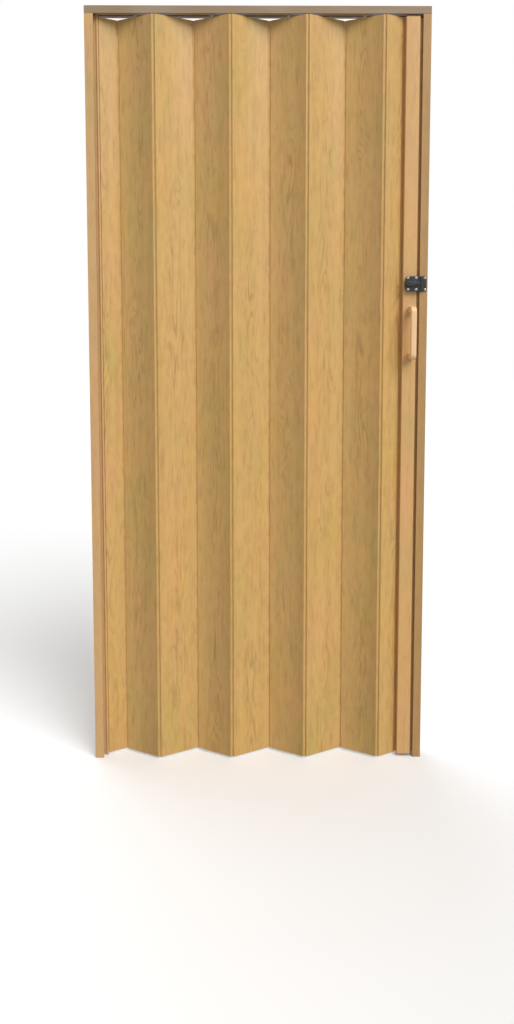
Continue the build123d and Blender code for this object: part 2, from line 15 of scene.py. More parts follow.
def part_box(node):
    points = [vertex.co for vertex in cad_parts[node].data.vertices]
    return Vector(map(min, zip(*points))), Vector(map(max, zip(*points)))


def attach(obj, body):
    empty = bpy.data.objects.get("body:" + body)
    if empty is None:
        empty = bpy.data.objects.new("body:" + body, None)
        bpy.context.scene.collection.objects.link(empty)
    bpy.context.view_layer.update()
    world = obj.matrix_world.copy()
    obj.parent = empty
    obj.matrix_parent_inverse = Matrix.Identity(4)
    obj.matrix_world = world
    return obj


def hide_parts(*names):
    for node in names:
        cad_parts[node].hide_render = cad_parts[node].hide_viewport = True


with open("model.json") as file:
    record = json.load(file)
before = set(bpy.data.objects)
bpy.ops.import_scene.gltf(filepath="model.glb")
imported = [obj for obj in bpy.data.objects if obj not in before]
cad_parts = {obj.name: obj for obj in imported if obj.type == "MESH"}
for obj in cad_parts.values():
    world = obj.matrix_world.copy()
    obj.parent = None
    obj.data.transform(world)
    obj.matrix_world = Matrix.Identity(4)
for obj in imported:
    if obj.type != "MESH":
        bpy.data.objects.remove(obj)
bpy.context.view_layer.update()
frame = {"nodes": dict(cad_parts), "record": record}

scene = bpy.context.scene

# %% [markdown]
# ## Where the eye stands
# The photograph was taken from a little over two metres away, at chest height and
# slightly above, looking a few degrees down. Its upright edges lean only a little,
# because the picture is mostly a lower cut of a larger frame. A shifted lens gives the
# same effect. The focal length and the shift are written in pixels of the photograph.

# %% Camera
FRAME_HEIGHT = 1024
FOCAL_PIXELS = 812.8
AXIS_ABOVE_CENTRE = 129.5
SENSOR = 36
EYE_PLACE = (-0.016, -2.1875, 1.2128)
EYE_TILT = 85.525
EYE_TURN = -0.352
NEAREST = 0.02

eye = bpy.data.cameras.new("eye")
eye.sensor_width = SENSOR
eye.lens = FOCAL_PIXELS / FRAME_HEIGHT * SENSOR
eye.shift_y = -AXIS_ABOVE_CENTRE / FRAME_HEIGHT
eye.clip_start = NEAREST
camera = bpy.data.objects.new("eye", eye)
camera.location = EYE_PLACE
camera.rotation_euler = (radians(EYE_TILT), 0, radians(EYE_TURN))
scene.collection.objects.link(camera)
scene.camera = camera
scene.view_settings.view_transform = "Standard"
print("lens", round(eye.lens, 3), "mm, shift", round(eye.shift_y, 4))

# %% [markdown]
# ## Small helpers for node trees
# A node tree is easier to read when one line makes one node. These three helpers make
# a node, join a value or a socket to an input, and do one step of arithmetic.

# %% Node helpers
def node(tree, kind, **settings):
    """Makes a node and sets its options."""
    made = tree.nodes.new(kind)
    for name, value in settings.items():
        setattr(made, name, value)
    return made


def feed(tree, value, socket):
    """Joins a socket, or writes a plain value, into an input."""
    if isinstance(value, bpy.types.NodeSocket):
        tree.links.new(value, socket)
    else:
        socket.default_value = value


def sums(tree, operation, *values):
    """One Math node; returns its result."""
    made = node(tree, "ShaderNodeMath", operation=operation)
    for socket, value in zip(made.inputs, values):
        feed(tree, value, socket)
    return made.outputs[0]


print("helpers: node, feed, sums")

# %% [markdown]
# ## Light
# The right-hand faces of the folds are bright and the left-hand ones darker, so the key
# light stands to the right and in front. A sun with a wide angle throws soft shadows and
# lights top and bottom alike, and a weak one behind keeps the far side readable, as a
# second window would. The world is white where the camera or a reflection meets
# it, and dimmer as a lamp, so that colours come out about as they are written.

# %% Key light and world
KEY_SIDE = radians(36)
KEY_HEIGHT = radians(40)
KEY_SHARE = 0.80
KEY_SPREAD = radians(42)
FILL_SHARE = 0.34
FILL_SPREAD = radians(60)
LAMP_AWAY = 4
AMBIENT = 0.42
WHITE = (1, 1, 1, 1)


def add_sun(name, front, share, spread_angle):
    """A sun to the right and in front (front 1), or to the left and behind (front -1)."""
    towards = Vector((
        front * sin(KEY_SIDE) * cos(KEY_HEIGHT),
        -front * cos(KEY_SIDE) * cos(KEY_HEIGHT),
        sin(KEY_HEIGHT),
    ))
    lamp = bpy.data.lights.new(name, "SUN")
    lamp.energy = share * pi
    lamp.angle = spread_angle
    holder = bpy.data.objects.new(name, lamp)
    holder.rotation_euler = towards.to_track_quat("Z", "Y").to_euler()
    holder.location = towards * LAMP_AWAY
    scene.collection.objects.link(holder)
    return lamp


key_lamp = add_sun("key", 1, KEY_SHARE, KEY_SPREAD)
fill_lamp = add_sun("back_fill", -1, FILL_SHARE, FILL_SPREAD)

world = bpy.data.worlds.new("studio")
world.use_nodes = True
scene.world = world
sky = world.node_tree
rays = node(sky, "ShaderNodeLightPath")
seen = sums(sky, "MAXIMUM", rays.outputs["Is Camera Ray"], rays.outputs["Is Glossy Ray"])
seen = sums(sky, "MAXIMUM", seen, rays.outputs["Is Transmission Ray"])
strength = sums(sky, "MULTIPLY_ADD", seen, 1 - AMBIENT, AMBIENT)
backdrop = sky.nodes["Background"]
backdrop.inputs["Color"].default_value = WHITE
feed(sky, strength, backdrop.inputs["Strength"])
print("key", round(key_lamp.energy, 2), "fill", round(fill_lamp.energy, 2), "world", AMBIENT)

# %% [markdown]
# ## Floor
# A pale studio floor lies under the profiles, which stand on it. It looks nearly white
# to the camera but gives back less light, or it would wash out the lower folds. It lies
# a hair below zero, so that the feet of the profiles stay clear of it.

# %% Floor
FLOOR_REACH = 14.0
FLOOR_DROP = 0.0005
FLOOR_CELLS = 8
SEEN_GREY = 0.92
DIM_GREY = 0.42


def grey_shader(tree, grey):
    """A plain matt shader in one grey."""
    made = node(tree, "ShaderNodeBsdfDiffuse")
    made.inputs["Color"].default_value = (grey, grey, grey, 1)
    return made.outputs[0]


floor_mesh = bpy.data.meshes.new("floor")
bm = bmesh.new()
bmesh.ops.create_grid(bm, x_segments=FLOOR_CELLS, y_segments=FLOOR_CELLS, size=FLOOR_REACH)
bmesh.ops.translate(bm, verts=bm.verts, vec=(0, 0, -FLOOR_DROP))
bm.to_mesh(floor_mesh)
bm.free()
floor = bpy.data.objects.new("floor", floor_mesh)
scene.collection.objects.link(floor)

paint = bpy.data.materials.new("floor_paint")
paint.use_nodes = True
tree = paint.node_tree
tree.nodes.clear()
pick = node(tree, "ShaderNodeMixShader")
feed(tree, node(tree, "ShaderNodeLightPath").outputs["Is Camera Ray"], pick.inputs[0])
feed(tree, grey_shader(tree, DIM_GREY), pick.inputs[1])
feed(tree, grey_shader(tree, SEEN_GREY), pick.inputs[2])
feed(tree, pick.outputs[0], node(tree, "ShaderNodeOutputMaterial").inputs["Surface"])
floor_mesh.materials.append(paint)
print("floor reach", FLOOR_REACH, "m")

# %% [markdown]
# ## Stretched noise
# Wood, foil and plastic all need noise that is finer across a board than along it.
# One helper makes it: a Mapping node squeezes the object's own coordinates, so the
# pattern stays on the piece when the door folds.

# %% Stretched noise
FLOAT = "NodeSocketFloat"
COLOUR = "NodeSocketColor"
VECTOR = "NodeSocketVector"
# The Mix node holds sockets for every kind of data; these are the ones for colours.
MIX_FACTOR, MIX_FIRST, MIX_SECOND, MIX_RESULT = 0, 6, 7, 2


def stretched(tree, vector, counts, detail=2.0, distortion=0.0, offset=(0, 0, 0)):
    """Noise that varies about this many times per metre along x, y and z."""
    mapping = node(tree, "ShaderNodeMapping")
    feed(tree, vector, mapping.inputs["Vector"])
    mapping.inputs["Scale"].default_value = counts
    mapping.inputs["Location"].default_value = offset
    noise = node(tree, "ShaderNodeTexNoise")
    feed(tree, mapping.outputs[0], noise.inputs["Vector"])
    noise.inputs["Scale"].default_value = 1.0
    noise.inputs["Detail"].default_value = detail
    noise.inputs["Distortion"].default_value = distortion
    return noise.outputs[0]


def spread(tree, value, low, high, to_low=0.0, to_high=1.0):
    """Stretches a part of a value's range to another range, with soft ends."""
    made = node(tree, "ShaderNodeMapRange", interpolation_type="SMOOTHSTEP")
    for socket, item in zip(made.inputs, (value, low, high, to_low, to_high)):
        feed(tree, item, socket)
    return made.outputs[0]


def blend_colours(tree, factor, first, second, kind="MIX"):
    """Mixes two colours; returns the result."""
    made = node(tree, "ShaderNodeMix", data_type="RGBA", blend_type=kind)
    feed(tree, factor, made.inputs[MIX_FACTOR])
    feed(tree, first, made.inputs[MIX_FIRST])
    feed(tree, second, made.inputs[MIX_SECOND])
    return made.outputs[MIX_RESULT]


def open_group(name, inputs, outputs):
    """A shader group with named sockets; returns its tree, its inputs and its outputs."""
    group = bpy.data.node_groups.new(name, "ShaderNodeTree")
    for label, kind, value in inputs:
        socket = group.interface.new_socket(label, in_out="INPUT", socket_type=kind)
        if value is not None:
            socket.default_value = value
    for label, kind in outputs:
        group.interface.new_socket(label, in_out="OUTPUT", socket_type=kind)
    given = group.nodes.new("NodeGroupInput").outputs
    wanted = group.nodes.new("NodeGroupOutput").inputs
    return group, given, wanted


print("helpers: stretched, spread, blend_colours, open_group")

# %% [markdown]
# ## The oak-look foil
# The boards carry a printed foil. Its picture has faint cathedral figures, short dark
# strokes, fine pores, and soft patches that lean towards green, rose or straw. Contour
# lines of a long slow noise make the figures, since they close into tall arches. One
# group does it all, and each piece sets its own tone.

# %% Foil figures
FIGURE_COUNTS = (26, 26, 3.0)
FIGURE_LINES = 13.0
LINE_FADE = (0.02, 0.28)
FIGURE_ZONE_COUNTS = (16, 16, 3.0)
FIGURE_ZONE_SHIFT = (3, 7, 1)
FIGURE_ZONE = (0.36, 0.60)

foil, foil_in, foil_out = open_group(
    "oak_foil",
    [
        ("Vector", VECTOR, None),
        ("Light Tone", COLOUR, (0.6, 0.37, 0.14, 1)),
        ("Grain Tone", COLOUR, (0.36, 0.20, 0.06, 1)),
        ("Grain Amount", FLOAT, 1.0),
        ("Patch Amount", FLOAT, 1.0),
        ("Figure Place", FLOAT, 0.4),
    ],
    [("Color", COLOUR), ("Roughness", FLOAT), ("Height", FLOAT)],
)
where = foil_in["Vector"]
slow = stretched(foil, where, FIGURE_COUNTS, detail=1.5, distortion=0.5)
steps = sums(foil, "PINGPONG", sums(foil, "MULTIPLY", slow, FIGURE_LINES), 0.5)
contour = spread(foil, steps, *LINE_FADE, 1.0, 0.0)
zone_noise = stretched(foil, where, FIGURE_ZONE_COUNTS, offset=FIGURE_ZONE_SHIFT)
figure = sums(foil, "MULTIPLY", contour, spread(foil, zone_noise, *FIGURE_ZONE))
figure = sums(foil, "MULTIPLY", figure, foil_in["Figure Place"])
print("figure lines", FIGURE_LINES)

# %% [markdown]
# ## Grain between the figures
# Four finer layers lie over the figures: strokes, a mottle, pores and broad bands. Each
# is noise cut to the part of its range that marks the foil. Their weights add up to
# one factor, which leads from the light tone to the grain tone.

# %% Foil grain
FIGURE_WEIGHT = 0.38
# For each layer: counts per metre, detail, distortion, the range that marks, its weight.
LAYERS = {
    "stroke": ((150, 150, 15), 3.0, 0.3, (0.52, 0.74), 0.26),
    "mottle": ((75, 75, 24), 4.0, 0.4, (0.40, 0.68), 0.17),
    "pore": ((850, 850, 30), 2.0, 0.0, (0.54, 0.74), 0.20),
    "band": ((60, 60, 1.2), 2.5, 0.0, (0.35, 0.70), 0.12),
}

layer_noise = {}
layer_mask = {}
mark = sums(foil, "MULTIPLY", figure, FIGURE_WEIGHT)
for layer, (counts, detail, distortion, marked, weight) in LAYERS.items():
    layer_noise[layer] = stretched(foil, where, counts, detail, distortion)
    layer_mask[layer] = spread(foil, layer_noise[layer], *marked)
    mark = sums(foil, "MULTIPLY_ADD", layer_mask[layer], weight, mark)
mark = sums(foil, "MULTIPLY", mark, foil_in["Grain Amount"])
tone = blend_colours(foil, mark, foil_in["Light Tone"], foil_in["Grain Tone"])
print("grain layers", ", ".join(LAYERS))

# %% [markdown]
# ## Patches, gloss and relief
# The print drifts in colour over a hand's breadth, so three wide noises tint it in
# turn. Pores are a little duller than the foil and are pressed into it, and strokes
# are pressed in less. The group then gives a colour, a roughness and a height.

# %% Foil patches and relief
PATCH_COUNTS = (11, 11, 4.2)
PATCH_RANGE = (0.44, 0.74)
# For each tint: the shift of its noise, its colour and its reach.
TINTS = {
    "green": ((0, 0, 0), (0.83, 0.99, 0.86, 1), 0.62),
    "rose": ((11, 5, 8), (1.07, 0.96, 1.16, 1), 0.55),
    "straw": ((4, 13, 21), (1.06, 1.01, 0.82, 1), 0.55),
}
GLOSS_RANGE = (0.3, 0.8)
FOIL_ROUGHNESS = (0.40, 0.56)
PORE_RELIEF = -0.7
STROKE_RELIEF = -0.3

for shift, tint, reach in TINTS.values():
    patch_noise = stretched(foil, where, PATCH_COUNTS, detail=2.5, offset=shift)
    amount = sums(foil, "MULTIPLY", spread(foil, patch_noise, *PATCH_RANGE), reach)
    amount = sums(foil, "MULTIPLY", amount, foil_in["Patch Amount"])
    tinted = blend_colours(foil, 1.0, tone, tint, "MULTIPLY")
    tone = blend_colours(foil, amount, tone, tinted)
feed(foil, tone, foil_out["Color"])
gloss = spread(foil, layer_noise["pore"], *GLOSS_RANGE, *FOIL_ROUGHNESS)
feed(foil, gloss, foil_out["Roughness"])
relief = sums(foil, "MULTIPLY", layer_mask["stroke"], STROKE_RELIEF)
relief = sums(foil, "MULTIPLY_ADD", layer_mask["pore"], PORE_RELIEF, relief)
feed(foil, relief, foil_out["Height"])
print("foil group nodes", len(foil.nodes))

# %% [markdown]
# ## Foil materials
# The wall profile and the lead post are a shade paler than the boards, and the strike
# profile is darker, as in the photograph. Every one is a Principled shader with a thin
# clear coat, because the foil is sealed, and the group gives only what varies. On the
# boards the figure keeps to the middle of each, as printed foils usually show it.

# %% Foil materials
FOIL_COAT = 0.12
COAT_ROUGHNESS = 0.25
FOIL_BUMP = (0.25, 0.0002)
FIRST_PIVOT_X = -0.42
BOARD_PITCH = 0.1
FIGURE_FADE = (0.006, 0.030)
FIGURE_AT_EDGE = 0.12


def start_material(name, roughness=0.5, metallic=0.0, coat=0.0):
    """A material with its Principled shader, ready to be fed."""
    material = bpy.data.materials.new(name)
    material.use_nodes = True
    tree = material.node_tree
    shader = tree.nodes["Principled BSDF"]
    shader.inputs["Roughness"].default_value = roughness
    shader.inputs["Metallic"].default_value = metallic
    shader.inputs["Coat Weight"].default_value = coat
    shader.inputs["Coat Roughness"].default_value = COAT_ROUGHNESS
    place = node(tree, "ShaderNodeTexCoord").outputs["Object"]
    return material, tree, shader, place


def raise_surface(tree, height, shader, strength, distance):
    """Feeds a height through a Bump node into the shader's normal."""
    bump = node(tree, "ShaderNodeBump")
    bump.inputs["Strength"].default_value = strength
    bump.inputs["Distance"].default_value = distance
    feed(tree, height, bump.inputs["Height"])
    feed(tree, bump.outputs[0], shader.inputs["Normal"])


def foil_material(name, light, grain, grain_amount=1.0, patch_amount=1.0, pitch=None):
    """The printed foil in the tones of one piece; a pitch sets the figure by boards."""
    material, tree, shader, place = start_material(name, coat=FOIL_COAT)
    skin = node(tree, "ShaderNodeGroup", node_tree=foil)
    feed(tree, place, skin.inputs["Vector"])
    skin.inputs["Light Tone"].default_value = light + (1,)
    skin.inputs["Grain Tone"].default_value = grain + (1,)
    skin.inputs["Grain Amount"].default_value = grain_amount
    skin.inputs["Patch Amount"].default_value = patch_amount
    if pitch:
        across = node(tree, "ShaderNodeSeparateXYZ")
        feed(tree, place, across.inputs[0])
        from_start = sums(tree, "SUBTRACT", across.outputs["X"], FIRST_PIVOT_X)
        off_middle = sums(tree, "PINGPONG", from_start, pitch / 2)
        share = spread(tree, off_middle, *FIGURE_FADE, 1.0, FIGURE_AT_EDGE)
        feed(tree, share, skin.inputs["Figure Place"])
    feed(tree, skin.outputs["Color"], shader.inputs["Base Color"])
    feed(tree, skin.outputs["Roughness"], shader.inputs["Roughness"])
    raise_surface(tree, skin.outputs["Height"], shader, *FOIL_BUMP)
    return material


board_foil = foil_material(
    "board_foil", (0.640, 0.392, 0.130), (0.335, 0.178, 0.050), pitch=BOARD_PITCH,
)
wall_foil = foil_material(
    "wall_profile_foil", (0.640, 0.385, 0.165), (0.360, 0.205, 0.080),
    grain_amount=0.8, patch_amount=0.8,
)
post_foil = foil_material(
    "post_foil", (0.700, 0.410, 0.160), (0.420, 0.240, 0.085),
    grain_amount=0.8, patch_amount=0.8,
)
strike_foil = foil_material(
    "strike_profile_foil", (0.475, 0.275, 0.100), (0.290, 0.160, 0.055),
    grain_amount=0.8, patch_amount=0.6,
)
print("foils:", board_foil.name, wall_foil.name, post_foil.name, strike_foil.name)

# %% [markdown]
# ## A moulded skin
# The soft strips, the end caps, the handles, the gliders and the lock are moulded or
# extruded plastic. Such a skin is never quite even: it has a fine texture and faint
# clouds of tone and gloss. One group gives that, and each material sets its strength.

# %% Moulded skin group
CLOUD_COUNTS = (55, 55, 35)
CLOUD_TONES = (0.38, 0.68)
CLOUD_GLOSS = (0.3, 0.7)
PEBBLE_COUNTS = (1600, 1600, 1600)

skin_group, skin_in, skin_out = open_group(
    "moulded_skin",
    [
        ("Vector", VECTOR, None),
        ("Tone", COLOUR, (0.5, 0.5, 0.5, 1)),
        ("Cloud Tone", COLOUR, (0.4, 0.4, 0.4, 1)),
        ("Grain Size", FLOAT, 1.0),
        ("Least Roughness", FLOAT, 0.3),
        ("Most Roughness", FLOAT, 0.5),
    ],
    [("Color", COLOUR), ("Roughness", FLOAT), ("Height", FLOAT)],
)
sized = node(skin_group, "ShaderNodeVectorMath", operation="SCALE")
feed(skin_group, skin_in["Vector"], sized.inputs[0])
feed(skin_group, skin_in["Grain Size"], sized.inputs["Scale"])
clouds = stretched(skin_group, skin_in["Vector"], CLOUD_COUNTS, detail=3.0)
pebbles = stretched(skin_group, sized.outputs[0], PEBBLE_COUNTS, detail=1.0)
cloudy = spread(skin_group, clouds, *CLOUD_TONES)
tone = blend_colours(skin_group, cloudy, skin_in["Tone"], skin_in["Cloud Tone"])
feed(skin_group, tone, skin_out["Color"])
least, most = skin_in["Least Roughness"], skin_in["Most Roughness"]
feed(skin_group, spread(skin_group, clouds, *CLOUD_GLOSS, least, most), skin_out["Roughness"])
feed(skin_group, pebbles, skin_out["Height"])
print("skin group nodes", len(skin_group.nodes))

# %% [markdown]
# ## Plain plastics
# The handles are paler and glossier than the boards, and the lock is a smooth black
# moulding with a faint coat. Nylon gliders are off-white. Bare plastic, without foil,
# shows where a board is cut, and a flat near-black is painted shade in the crosses of
# the screws.

# %% Moulded materials
PEBBLE_HEIGHT = 0.00008


def moulded(name, tone, cloud, rough, grain=1.0, bump=0.2, coat=0.0):
    """Moulded plastic in one tone, with clouds of a second one."""
    material, tree, shader, place = start_material(name, coat=coat)
    skin = node(tree, "ShaderNodeGroup", node_tree=skin_group)
    feed(tree, place, skin.inputs["Vector"])
    skin.inputs["Tone"].default_value = tone + (1,)
    skin.inputs["Cloud Tone"].default_value = cloud + (1,)
    skin.inputs["Grain Size"].default_value = grain
    skin.inputs["Least Roughness"].default_value = rough[0]
    skin.inputs["Most Roughness"].default_value = rough[1]
    feed(tree, skin.outputs["Color"], shader.inputs["Base Color"])
    feed(tree, skin.outputs["Roughness"], shader.inputs["Roughness"])
    raise_surface(tree, skin.outputs["Height"], shader, bump, PEBBLE_HEIGHT)
    return material


soft_strip = moulded("soft_strip", (0.66, 0.40, 0.135), (0.58, 0.34, 0.11), (0.50, 0.66))
cap_skin = moulded("cap_skin", (0.46, 0.28, 0.10), (0.40, 0.24, 0.08), (0.50, 0.65))
handle_skin = moulded(
    "handle_skin", (0.90, 0.585, 0.315), (0.86, 0.55, 0.29), (0.34, 0.46),
    grain=0.7, bump=0.12,
)
nylon = moulded("glider_nylon", (0.86, 0.86, 0.83), (0.80, 0.80, 0.76), (0.35, 0.50))
lock_skin = moulded(
    "lock_skin", (0.016, 0.016, 0.018), (0.024, 0.024, 0.027), (0.20, 0.34),
    grain=0.5, bump=0.06, coat=0.12,
)
bare_pvc = moulded("bare_pvc", (0.62, 0.45, 0.26), (0.57, 0.41, 0.23), (0.45, 0.60))
# Painted shade: a flat near-black for the deep crosses of the steel screws.
recess_painted_shade = moulded("recess_painted_shade", (0.012, 0.012, 0.012), (0.02, 0.02, 0.02), (0.5, 0.7))
plastics = (soft_strip, cap_skin, handle_skin, nylon, lock_skin, bare_pvc, recess_painted_shade)
print("moulded:", ", ".join(material.name for material in plastics))

# %% [markdown]
# ## Track foil
# The head track is the same plastic in a greyer brown with a satin gloss. It is drawn
# lengthways, so its fine lines run along x and not upwards as on the boards. Long soft
# streaks of a paler grey-brown are a painted highlight, standing in for the whitish
# reflection of the light along its face.

# %% Track material
TRACK_COAT = 0.25
TRACK_BUMP = (0.12, 0.0001)
LINE_COUNTS = (2.2, 420, 420)
LINE_RANGE = (0.35, 0.7)
LINE_GLOSS = (0.3, 0.7)
TRACK_ROUGHNESS = (0.30, 0.42)
TRACK_BROWN = (0.315, 0.215, 0.122, 1)
TRACK_LINE = (0.262, 0.172, 0.092, 1)
# Painted highlight: a paler grey-brown mixed in along the track in long soft streaks.
HIGHLIGHT_COUNTS = (6, 30, 30)
HIGHLIGHT_RANGE = (0.45, 0.75)
HIGHLIGHT_MOST = 0.5
TRACK_PAINTED_HIGHLIGHT = (0.36, 0.29, 0.21, 1)

track_foil, tree, shader, place = start_material("track_foil", coat=TRACK_COAT)
lines = stretched(tree, place, LINE_COUNTS, detail=3.0)
highlight_noise = stretched(tree, place, HIGHLIGHT_COUNTS, detail=2.0)
drawn = blend_colours(tree, spread(tree, lines, *LINE_RANGE), TRACK_BROWN, TRACK_LINE)
# Mixes the painted highlight into the track's brown.
painted_highlight = spread(tree, highlight_noise, *HIGHLIGHT_RANGE, 0.0, HIGHLIGHT_MOST)
drawn = blend_colours(tree, painted_highlight, drawn, TRACK_PAINTED_HIGHLIGHT)
feed(tree, drawn, shader.inputs["Base Color"])
gloss = spread(tree, lines, *LINE_GLOSS, *TRACK_ROUGHNESS)
feed(tree, gloss, shader.inputs["Roughness"])
raise_surface(tree, lines, shader, *TRACK_BUMP)
print("track material", track_foil.name)

# %% [markdown]
# ## Bright steel
# Screws, bolt and crank are plated steel. Metal shows its colour only in reflections,
# so the tone stays light and the roughness varies along fine turning marks.

# %% Steel material
TURNING_COUNTS = (500, 500, 500)
TURNING_TONES = (0.4, 0.7)
TURNING_GLOSS = (0.3, 0.7)
STEEL_LIGHT = (0.74, 0.74, 0.73, 1)
STEEL_DULL = (0.60, 0.60, 0.60, 1)
STEEL_ROUGHNESS = (0.18, 0.34)
STEEL_BUMP = (0.08, 0.00005)

steel, tree, shader, place = start_material("bright_steel", metallic=1.0)
turning = stretched(tree, place, TURNING_COUNTS, detail=2.0)
plated = blend_colours(tree, spread(tree, turning, *TURNING_TONES), STEEL_LIGHT, STEEL_DULL)
feed(tree, plated, shader.inputs["Base Color"])
gloss = spread(tree, turning, *TURNING_GLOSS, *STEEL_ROUGHNESS)
feed(tree, gloss, shader.inputs["Roughness"])
raise_surface(tree, turning, shader, *STEEL_BUMP)
print("steel", steel.name)

# %% [markdown]
# ## Dress the frame
# Each solid already says in the record which finish it has. A table from finish to
# material dresses them all, except that three profiles have a tone of their own.

# %% Dress the solids
FINISHES = {
    "woodgrain_pvc": board_foil,
    "soft_hinge": soft_strip,
    "track_foil": track_foil,
    "nylon_white": nylon,
    "cap_plastic": cap_skin,
    "handle_plastic": handle_skin,
    "lock_plastic": lock_skin,
    "steel_bright": steel,
}
OWN_TONE = {
    "wall_profile": wall_foil,
    "lead_post": post_foil,
    "strike_profile": strike_foil,
}

for part in frame["record"]["subparts"]:
    solid = frame["nodes"][part["node"]]
    finish = OWN_TONE.get(part["node"], FINISHES[part["material_slot"]])
    if not solid.material_slots:
        solid.data.materials.append(finish)
    for place_on_solid in solid.material_slots:
        place_on_solid.material = finish

# %% [markdown]
# ## Sizes of the boards
# These are the sizes of the solids, in millimetres and degrees. A knuckle is the round
# edge of a board, with a groove for the bead of a strip. The knuckle's mouth opens from
# where the web lies at rest to where it lies when folded, with a little play.

# %% Board sizes
KNUCKLE = 3.4
GROOVE = 2.06
BEAD = 2.0
HALF_THICK = 3.0
HALF_WEB = 0.6
WEB_PLAY = 0.3
WALL = 0.9
RIB = 0.8
HINGE_GAP = 9.0
PITCH = 100.0
FOLD_DEPTH = 46.8
FOLD_TRAVEL = 52.0
WALL_PIVOT = -420.0
POST_PIVOT = 380.0
BOARD_BOTTOM = 6.0
BOARD_HEIGHT = 1990.0

REST = degrees(atan2(FOLD_DEPTH, PITCH - HINGE_GAP))
BOARD_LENGTH = sqrt((PITCH - HINGE_GAP) ** 2 + FOLD_DEPTH ** 2)
MOUTH_SIDE = degrees(asin((HALF_WEB + WEB_PLAY) / GROOVE))
MOUTH_FROM = REST - MOUTH_SIDE
MOUTH_TO = REST + FOLD_TRAVEL + MOUTH_SIDE
NECK_ANGLE = degrees(asin(HALF_WEB / BEAD))
print("rest angle", round(REST, 2), "board", round(BOARD_LENGTH, 2), "mm")

# %% [markdown]
# ## Sections of the extrusions
# A board is one section pushed through a die, so it is drawn once and extruded. The
# outline is made of arcs, each swept from one vertex by Spin, and short straight edges.
# It is drawn in millimetres, because filling a face works badly on tiny lengths.

# %% Section helpers
ARC_STEP = 9.0
FEWEST_STEPS = 2


def on_circle(centre, radius, angle):
    """The point at this angle, in degrees, on a circle in the drawing plane."""
    turned = radians(angle)
    return Vector((centre[0] + radius * cos(turned), centre[1] + radius * sin(turned), 0))


def arc(bm, centre, radius, first, last):
    """Sweeps a vertex round a centre; returns the vertices at both ends."""
    start = bm.verts.new(on_circle(centre, radius, first))
    count = max(FEWEST_STEPS, round((last - first) / ARC_STEP))
    bmesh.ops.spin(
        bm, geom=[start], cent=(centre[0], centre[1], 0), axis=(0, 0, 1),
        angle=radians(last - first), steps=count,
    )
    goal = on_circle(centre, radius, last)
    end = min(bm.verts, key=lambda vert: (vert.co - goal).length)
    return start, end


def join(bm, *verts):
    """Straight edges from each vertex to the next."""
    for one, two in zip(verts, verts[1:]):
        bm.edges.new((one, two))


def point(bm, x, y):
    """One vertex of the drawing."""
    return bm.verts.new((x, y, 0))


def chamber(bm, middle, width):
    """The outline of one hollow chamber."""
    half = HALF_THICK - WALL
    signs = ((-1, -1), (1, -1), (1, 1), (-1, 1))
    corners = [point(bm, middle + sx * width / 2, sy * half) for sx, sy in signs]
    join(bm, *corners, corners[0])


def hinge_edge(bm, x, side=1):
    """The C-shaped knuckle at x, seen from side; returns its upper and lower face vertices."""
    turned = 0 if side > 0 else 180
    centre = (x, 0)
    shoulder = 180 - degrees(asin(HALF_THICK / KNUCKLE))
    mouth_from = turned - MOUTH_FROM
    mouth_to = turned + 360 - MOUTH_TO
    outer_from, outer_to = arc(bm, centre, KNUCKLE, mouth_from, turned + shoulder)
    inner_from, inner_to = arc(bm, centre, GROOVE, mouth_from, mouth_to)
    lip_from, lip_to = arc(bm, centre, KNUCKLE, turned + 360 - shoulder, mouth_to)
    join(bm, outer_from, inner_from)
    join(bm, inner_to, lip_to)
    return outer_to, lip_from


print("helpers: on_circle, arc, join, point, chamber, hinge_edge")

# %% [markdown]
# ## From a section to a piece
# Filling the edges gives the face with its holes, and extruding that face gives the
# closed board. Long arcs look round when their faces are smooth and only the true
# corners stay sharp. Last, the piece is put where it belongs, in metres.

# %% Extrude and finish
SHARP_FROM = radians(32)
MM = 0.001
WELD = 0.000002
FACES_UP = 0.9


def fill_and_extrude(bm, bottom, height):
    """Fills the drawn section and pushes it up."""
    bmesh.ops.triangle_fill(bm, use_beauty=True, use_dissolve=False, edges=bm.edges[:])
    pushed = bmesh.ops.extrude_face_region(bm, geom=bm.faces[:])
    top = [item for item in pushed["geom"] if isinstance(item, bmesh.types.BMVert)]
    bmesh.ops.translate(bm, verts=top, vec=(0, 0, height))
    bmesh.ops.translate(bm, verts=bm.verts, vec=(0, 0, bottom))


def finish_piece(bm, name, body, slot, materials, *nodes):
    """Turns a millimetre mesh into a piece that rides on a body and replaces solids."""
    bmesh.ops.scale(bm, vec=(MM, MM, MM), verts=bm.verts)
    bmesh.ops.remove_doubles(bm, verts=bm.verts, dist=WELD)
    bmesh.ops.recalc_face_normals(bm, faces=bm.faces)
    for face in bm.faces:
        face.smooth = True
    for edge in bm.edges:
        edge.smooth = edge.calc_face_angle(0) < SHARP_FROM
    mesh = bpy.data.meshes.new(name)
    bm.to_mesh(mesh)
    bm.free()
    for material in materials:
        mesh.materials.append(material)
    piece = bpy.data.objects.new(name, mesh)
    scene.collection.objects.link(piece)
    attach(piece, body)
    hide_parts(*nodes)
    return piece


def turn_about(bm, angle, axis):
    """Turns a whole drawing about an axis through the origin; the angle is in degrees."""
    turn = Matrix.Rotation(radians(angle), 3, axis)
    bmesh.ops.rotate(bm, verts=bm.verts, cent=(0, 0, 0), matrix=turn)


def stand(bm, x, y, angle):
    """Turns a drawn piece about the upright and moves it to its place."""
    turn_about(bm, angle, "Z")
    bmesh.ops.translate(bm, verts=bm.verts, vec=(x, y, 0))


def show_bare(bm, first, last):
    """Cut ends and chambers carry no foil; the chambers lie from first to last."""
    bm.normal_update()
    for face in bm.faces:
        middle = face.calc_center_median()
        inside = abs(middle.y) < HALF_THICK - WALL / 2 and first < middle.x < last
        face.material_index = 1 if inside or abs(face.normal.z) > FACES_UP else 0


